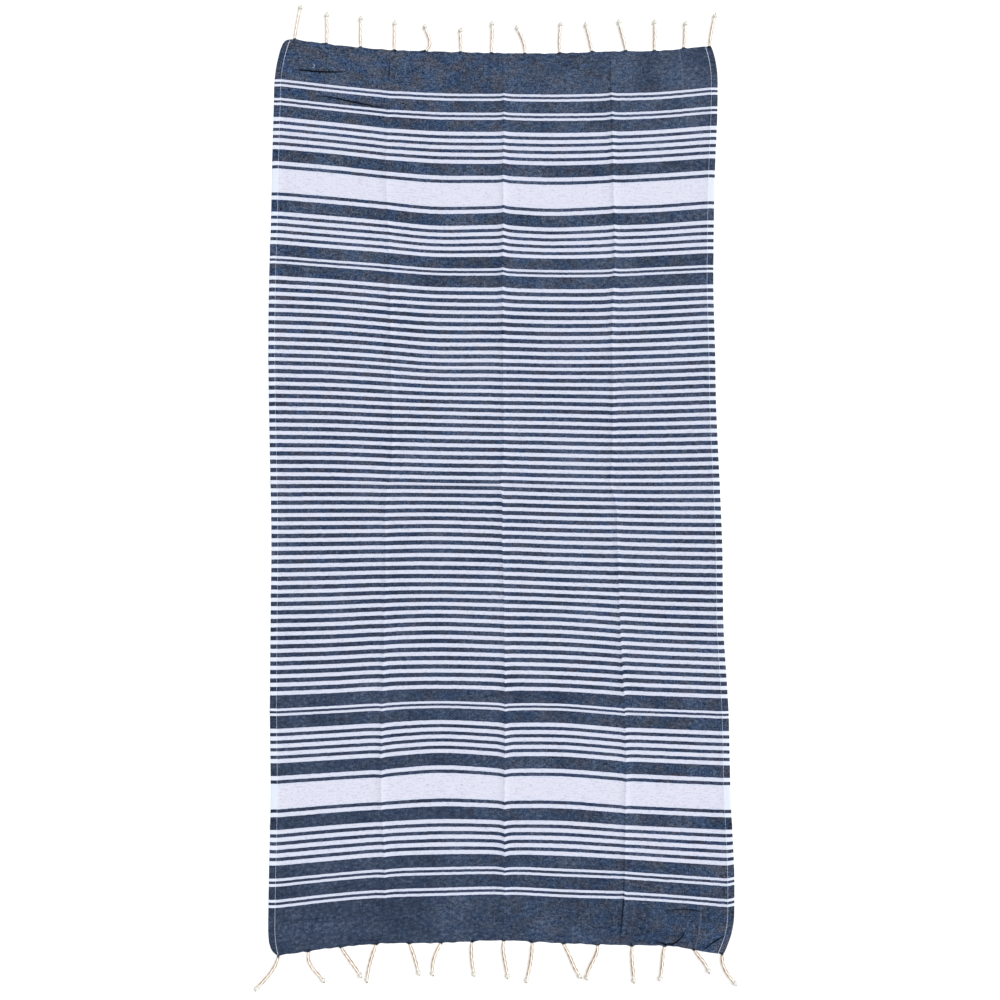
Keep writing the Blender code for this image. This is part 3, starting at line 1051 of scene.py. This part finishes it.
def lay_out_flat(columns, rows):
    """A grid of faces with its lines at the given places, drawn out flat."""
    cells = len(columns) - 1, len(rows) - 1
    bpy.ops.mesh.primitive_grid_add(x_subdivisions=cells[0], y_subdivisions=cells[1], size=1)
    grid = bpy.context.object
    places = points_of(grid.data)
    line = np.rint((places[:, :2] + 0.5) * cells).astype(int)
    across = straight = columns[line[:, 0]]
    along = rows[line[:, 1]]
    for centre, ridge in RIDGES.items():
        near = smooth(1 - np.abs(straight - centre) / RIDGE_SWAY)
        across = across + near * (read(ridge, "place", along) - centre)
    move_points(grid.data, np.stack([across, along, np.zeros_like(across)], axis=1))
    return grid


def subdivide_where(grid, chooses, cuts_by_size):
    """Gives the faces that are chosen by their centres more points, the large ones the most."""
    for over, cuts in cuts_by_size:
        faces = grid.data.polygons
        across, along, _ = numbers_of(faces, "center", 3).reshape(-1, 3).T
        chosen = chooses(across, along) & (numbers_of(faces, "area") > over)
        take_up(grid)
        bpy.ops.object.mode_set(mode="EDIT")
        bpy.ops.mesh.select_mode(type="FACE")
        bpy.ops.mesh.select_all(action="DESELECT")
        bpy.ops.object.mode_set(mode="OBJECT")
        grid.data.polygons.foreach_set("select", chosen)
        bpy.ops.object.mode_set(mode="EDIT")
        bpy.ops.mesh.subdivide(number_cuts=cuts)
        bpy.ops.object.mode_set(mode="OBJECT")


def near_wrinkle(across, along):
    chosen = np.zeros(len(across), bool)
    for wrinkle in WRINKLES:
        share, left = beside_wrinkle(wrinkle, across, along)
        chosen |= (np.abs(left) < FINE_MARGIN) & (share > 0) & (share < 1)
    return chosen


def near_root(across, along):
    chosen = np.zeros(len(across), bool)
    for end, cords in FRINGES.items():
        for cord in cords:
            beside = np.abs(across - cord.across * MM) < ROOT_REACH
            chosen |= beside & (HALF_LENGTH - end * along < ROOT_REACH)
    return chosen


def spots_of_loops(mesh, places):
    """A value for each corner of each face from one for each point."""
    return places[numbers_of(mesh.loops, "vertex_index", kind=int)]


def write_map(mesh, name, spots):
    mesh.uv_layers.new(name=name).data.foreach_set("uv", np.ascontiguousarray(spots, float).ravel())


def map_for_the_bake(mesh, flat, upper):
    """A map with the face side in one half and the underside in the other, both all in one piece."""
    half, border, rim = 0.5, 0.006, 0.003
    scale = (half - 2 * border) / CLOTH_WIDTH, (1 - 2 * border) / CLOTH_LENGTH
    edges = np.array([HALF_WIDTH, HALF_LENGTH])
    on_side = (flat + edges) * scale + border
    outward = np.sign(flat) * (np.abs(flat) > edges - ON_EDGE)
    spots = spots_of_loops(mesh, on_side)
    is_upper = spots_of_loops(mesh, upper)
    totals = numbers_of(mesh.polygons, "loop_total", kind=int)
    uppers = np.add.reduceat(is_upper.astype(int), numbers_of(mesh.polygons, "loop_start", kind=int))
    kind = np.repeat(np.where(uppers == totals, 1, np.where(uppers == 0, -1, 0)), totals)
    spots[kind == -1, 0] += half
    turned_under = (kind == 0) & ~is_upper
    spots[turned_under] += spots_of_loops(mesh, outward)[turned_under] * rim
    write_map(mesh, BAKE_MAP, spots)


def make_cloth(material):
    near_edge = [HALF_WIDTH - offset for offset in (*EDGE_OFFSETS, HEM_WIDTH, HEM_WIDTH + HEM_STEP)]
    near_end = [HALF_LENGTH - offset for offset in EDGE_OFFSETS]
    columns = spread(near_edge, RIDGES, RIDGE_OFFSETS)
    rows = spread(near_end, [fold.along * MM for fold in FOLDS], FOLD_OFFSETS)
    cloth = lay_out_flat(columns, rows)
    cloth.name = cloth.data.name = "cloth_sheet"
    subdivide_where(cloth, near_wrinkle, FINE_CUTS)
    subdivide_where(cloth, near_root, ROOT_CUTS)
    mesh = cloth.data
    flat = points_of(mesh)[:, :2]
    across, along = flat.T
    # Painted shadow along the creases and wrinkles, and the dark dots at the cords' roots, written on the
    # points for the material
    off, dark = crease_shadow_lines(across, along)
    write_on_points(mesh, {LINE_OFF: off, SHADOW_LINE_DARK: dark, ROOT_DARK: root_dots(across, along)})
    move_points(mesh, in_frame(across, along, rise(across, along)))
    write_map(mesh, WEAVE_MAP, spots_of_loops(mesh, flat))
    group = cloth.vertex_groups.new(name="layers")
    thickness = layers(across)
    for index, share in enumerate(thickness / HEM_THICK):
        group.add([index], float(share), "REPLACE")
    build_up = cloth.modifiers.new("layers", "SOLIDIFY")
    build_up.thickness = HEM_THICK
    build_up.offset = 1.0
    build_up.vertex_group = group.name
    take_up(cloth)
    bpy.ops.object.modifier_apply(modifier=build_up.name)
    cloth.vertex_groups.clear()
    heights = points_of(mesh)[:, 2]
    count = len(flat)
    first_above = heights[:count] > heights[count:]
    upper = np.concatenate([first_above, ~first_above])
    map_for_the_bake(mesh, np.concatenate([flat, flat]), upper)
    mesh.uv_layers[WEAVE_MAP].active_render = True
    bpy.ops.object.shade_smooth_by_angle(angle=CLOTH_SMOOTH_UNDER)
    mesh.materials.clear()
    mesh.materials.append(material)
    return cloth


# -------- the fringes


def ply_outline():
    """The outline of a ply: a ring of yarns, as a closed curve to sweep along it."""
    curve = bpy.data.curves.new("ply_outline", "CURVE")
    curve.dimensions = "2D"
    spline = curve.splines.new("POLY")
    spline.points.add(PLY_SIDES - 1)
    spline.use_cyclic_u = True
    for k, point in enumerate(spline.points):
        turn = 2 * math.pi * k / PLY_SIDES
        radius = PLY_RADIUS * (1 - YARN_RELIEF * (0.5 + 0.5 * math.cos(YARNS_IN_PLY * turn)))
        point.co = (radius * math.cos(turn), radius * math.sin(turn), 0.0, 1.0)
    return put_in_scene("ply_outline", curve)


def cord_plies(cord, end, start_turn):
    """The plies of a cord: side by side where they leave the cloth, then wound round each other."""
    line = cord_line(cord, end)
    steps = np.hypot(*np.diff(line, axis=0).T)
    reached = np.concatenate([[0.0], np.cumsum(steps)])
    ahead = np.gradient(line, axis=0)
    ahead /= np.hypot(*ahead.T)[:, None]
    beside = np.stack([ahead[:, 1], -ahead[:, 0]], axis=1)
    wound = smooth((reached - ROOT_INSIDE) / ROOT_RISE_LENGTH)
    to_knot = smooth(1 - (reached[-1] - reached - KNOT_PLACE) / KNOT_RISE_LENGTH)
    up = ROOT_HEIGHT + (CORD_HEIGHT - ROOT_HEIGHT) * wound + (KNOT_HEIGHT - CORD_HEIGHT) * to_knot
    tight = 1 - (1 - KNOT_TIGHT) * to_knot
    radii = (ROOT_THIN + (1 - ROOT_THIN) * wound) * tight
    for ply in range(PLIES):
        turn = start_turn + 2 * math.pi * (ply / PLIES + reached / TWIST_LENGTH)
        middle = line + beside * (PLY_OFFSET * tight * np.cos(turn))[:, None]
        height = up + PLY_OFFSET * tight * wound * np.sin(turn)
        places = np.stack([*(middle + SHIFT).T, height], axis=1)
        yield places, radii, 2 * math.pi * reached / YARN_TWIST_LENGTH


def knot_line(cord, end, hand):
    """The turns of an overhand knot round a cord's tip, with their ends tucked in."""
    line = cord_line(cord, end)
    ahead = np.array([*heading(cord, end, 1.0), 0.0])
    beside = np.array([ahead[1], -ahead[0], 0.0])
    centre = np.array([*(line[-1] + SHIFT), KNOT_HEIGHT]) - ahead * KNOT_PLACE
    share = np.linspace(0.0, 1.0, KNOT_STEPS)
    tucked = smooth(np.minimum(share, 1 - share) / KNOT_TUCK)
    turn = hand * 2 * math.pi * KNOT_TURNS * share
    coil = KNOT_COIL * (TUCKED_COIL + (1 - TUCKED_COIL) * tucked)
    run = KNOT_RUN * (share - 0.5) + KNOT_SLANT * np.sin(turn)
    places = (
        centre
        + ahead * run[:, None]
        + beside * (coil * np.cos(turn))[:, None]
        + np.array([0.0, 0.0, KNOT_FLATTENED]) * (coil * np.sin(turn))[:, None]
    )
    radii = KNOT_PLY_RADIUS / PLY_RADIUS * (TUCKED_PLY + (1 - TUCKED_PLY) * tucked)
    return places, radii, turn


def paint_sides(fringe, cords, end):
    """Writes how far each point is from its cord's middle, in mm, and from its root, in lengths of its dark
    root.
    """
    mesh = fringe.data
    x, y, _ = points_of(mesh).T
    aside = np.full_like(x, CORD_REACH)
    reached = np.ones_like(x)
    for cord in cords:
        line = cord_line(cord, end)[: -round(KNOT_PLACE / CORD_STEP)] + SHIFT
        low, high = line.min(axis=0) - CORD_REACH, line.max(axis=0) + CORD_REACH
        near = (x > low[0]) & (x < high[0]) & (y > low[1]) & (y < high[1])
        share, left = beside_line(line, x[near], y[near])
        nearer = np.abs(left) < aside[near]
        aside[near] = np.where(nearer, np.abs(left), aside[near])
        reached[near] = np.where(nearer, share * cord.length / cord.dyed, reached[near])
    write_on_points(mesh, {CORD_SIDE: aside / MM, CORD_REACHED: reached})


def make_fringe(name, cords, end, outline, materials):
    """All the cords of one end, swept, knotted and made one mesh."""
    curve = new_curve(name)
    curve.bevel_mode = "OBJECT"
    curve.bevel_object = outline
    curve.use_fill_caps = True
    for material in materials:
        curve.materials.append(material)
    for count, cord in enumerate(cords):
        for ply in cord_plies(cord, end, start_turn=count * TURN_BETWEEN_CORDS):
            add_line(curve, *ply)
        add_line(curve, *knot_line(cord, end, hand=1 if count % 2 else -1), finish_slot=1)
    fringe = put_in_scene(name, curve)
    take_up(fringe)
    bpy.ops.object.convert(target="MESH")
    bpy.ops.object.mode_set(mode="EDIT")
    bpy.ops.mesh.select_all(action="SELECT")
    bpy.ops.mesh.normals_make_consistent(inside=False)
    bpy.ops.object.mode_set(mode="OBJECT")
    bpy.ops.object.shade_smooth_by_angle(angle=YARN_SMOOTH_UNDER)
    paint_sides(fringe, cords, end)
    return fringe


# -------- the hems' stitches


def make_stitches(name, side, material):
    """One row of stitches: a bead repeated along the inner edge of a hem."""
    bpy.ops.mesh.primitive_uv_sphere_add(segments=6, ring_count=4, radius=1.0, rotation=(0, math.pi / 2, 0))
    row = bpy.context.object
    row.name = row.data.name = name
    bpy.ops.object.transform_apply(location=False, rotation=True, scale=False)
    row.scale = STITCH_SIZE
    bpy.ops.object.transform_apply(location=False, rotation=False, scale=True)

    along = np.linspace(-HALF_LENGTH, HALF_LENGTH, SEAM_POINTS)
    across = np.full_like(along, side * STITCH_PLACE)
    places = in_frame(across, along, rise(across, along) + HEM_THICK)
    curve = new_curve("seam")
    add_line(curve, places, np.interp(along / MM, *zip(*STITCH_SWELL)), np.zeros_like(along))
    curve.use_radius = True
    seam = put_in_scene("seam", curve)
    length = np.linalg.norm(np.diff(places, axis=0), axis=1).sum()

    repeat = row.modifiers.new("repeat", "ARRAY")
    repeat.use_relative_offset = False
    repeat.use_constant_offset = True
    repeat.constant_offset_displace = (STITCH_PITCH, 0, 0)
    repeat.count = int(length / STITCH_PITCH)
    follow = row.modifiers.new("follow", "CURVE")
    follow.object = seam
    follow.deform_axis = "POS_X"
    take_up(row)
    bpy.ops.object.modifier_apply(modifier=repeat.name)
    bpy.ops.object.modifier_apply(modifier=follow.name)
    bpy.data.objects.remove(seam)
    row.data.materials.append(material)
    bpy.ops.object.shade_smooth_by_angle(angle=YARN_SMOOTH_UNDER)
    return row


# -------- camera, light and floor

CAMERA_PLACE = (0.00540, -0.2352, 2.800)
CAMERA_TARGET = (0.00540, -0.0340, 0.000)
CAMERA_LENS = 46.06
CAMERA_SENSOR = 36.0
KEY_TURN = (math.radians(50), 0.0, math.radians(118))
KEY_STRENGTH = 2.15
KEY_ANGLE = 70
FILL_STRENGTH = 0.84
FLOOR_SIZE = 24


def set_camera():
    data = bpy.data.cameras.new("camera")
    data.lens = CAMERA_LENS
    data.sensor_width = CAMERA_SENSOR
    camera = put_in_scene("camera", data)
    camera.location = CAMERA_PLACE
    tilt = math.atan2(CAMERA_TARGET[1] - CAMERA_PLACE[1], CAMERA_PLACE[2] - CAMERA_TARGET[2])
    camera.rotation_euler = (tilt, 0.0, 0.0)
    bpy.context.scene.camera = camera


def set_light():
    key = bpy.data.lights.new("key", "SUN")
    key.energy = KEY_STRENGTH
    key.angle = math.radians(KEY_ANGLE)
    put_in_scene("key", key).rotation_euler = KEY_TURN
    world = bpy.data.worlds.new("studio")
    world.use_nodes = True
    background = world.node_tree.nodes["Background"]
    background.inputs["Color"].default_value = (1.0, 1.0, 1.0, 1.0)
    background.inputs["Strength"].default_value = FILL_STRENGTH
    bpy.context.scene.world = world
    bpy.context.scene.view_settings.view_transform = "Standard"


def set_floor():
    bpy.ops.mesh.primitive_plane_add(size=FLOOR_SIZE)
    floor = bpy.context.object
    floor.name = floor.data.name = "floor"
    floor.data.materials.append(pale_floor())
    floor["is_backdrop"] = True


# -------- putting it together

set_camera()
set_light()
set_floor()

knots = cotton_yarn("knot_cotton", KNOT_WHITE, KNOT_SHADE, side_starts=3.9)
top_yarns = cotton_yarn("cord_cotton_top", CREAM, PALE_TAN_SIDE_SHADE, side_starts=1.6), knots
bottom_yarns = cotton_yarn("cord_cotton_bottom", CREAM_DEEP, TAN_SIDE_SHADE, side_starts=1.35), knots
outline = ply_outline()
fringe_top = make_fringe("cords_top", TOP_CORDS, 1, outline, top_yarns)
fringe_bottom = make_fringe("cords_bottom", BOTTOM_CORDS, -1, outline, bottom_yarns)
bpy.data.objects.remove(outline)
cloth = make_cloth(woven_cloth())
thread = stitch_thread()
stitches = [make_stitches(f"stitches_{name}", side, thread) for name, side in (("left", -1), ("right", 1))]

for piece in (cloth, fringe_top, fringe_bottom, *stitches):
    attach(piece, "root")
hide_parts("cloth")
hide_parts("fringe_top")
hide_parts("fringe_bottom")

boxes = [[list(map(float, corner)) for corner in box] for box in (SOLID_BOX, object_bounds())]
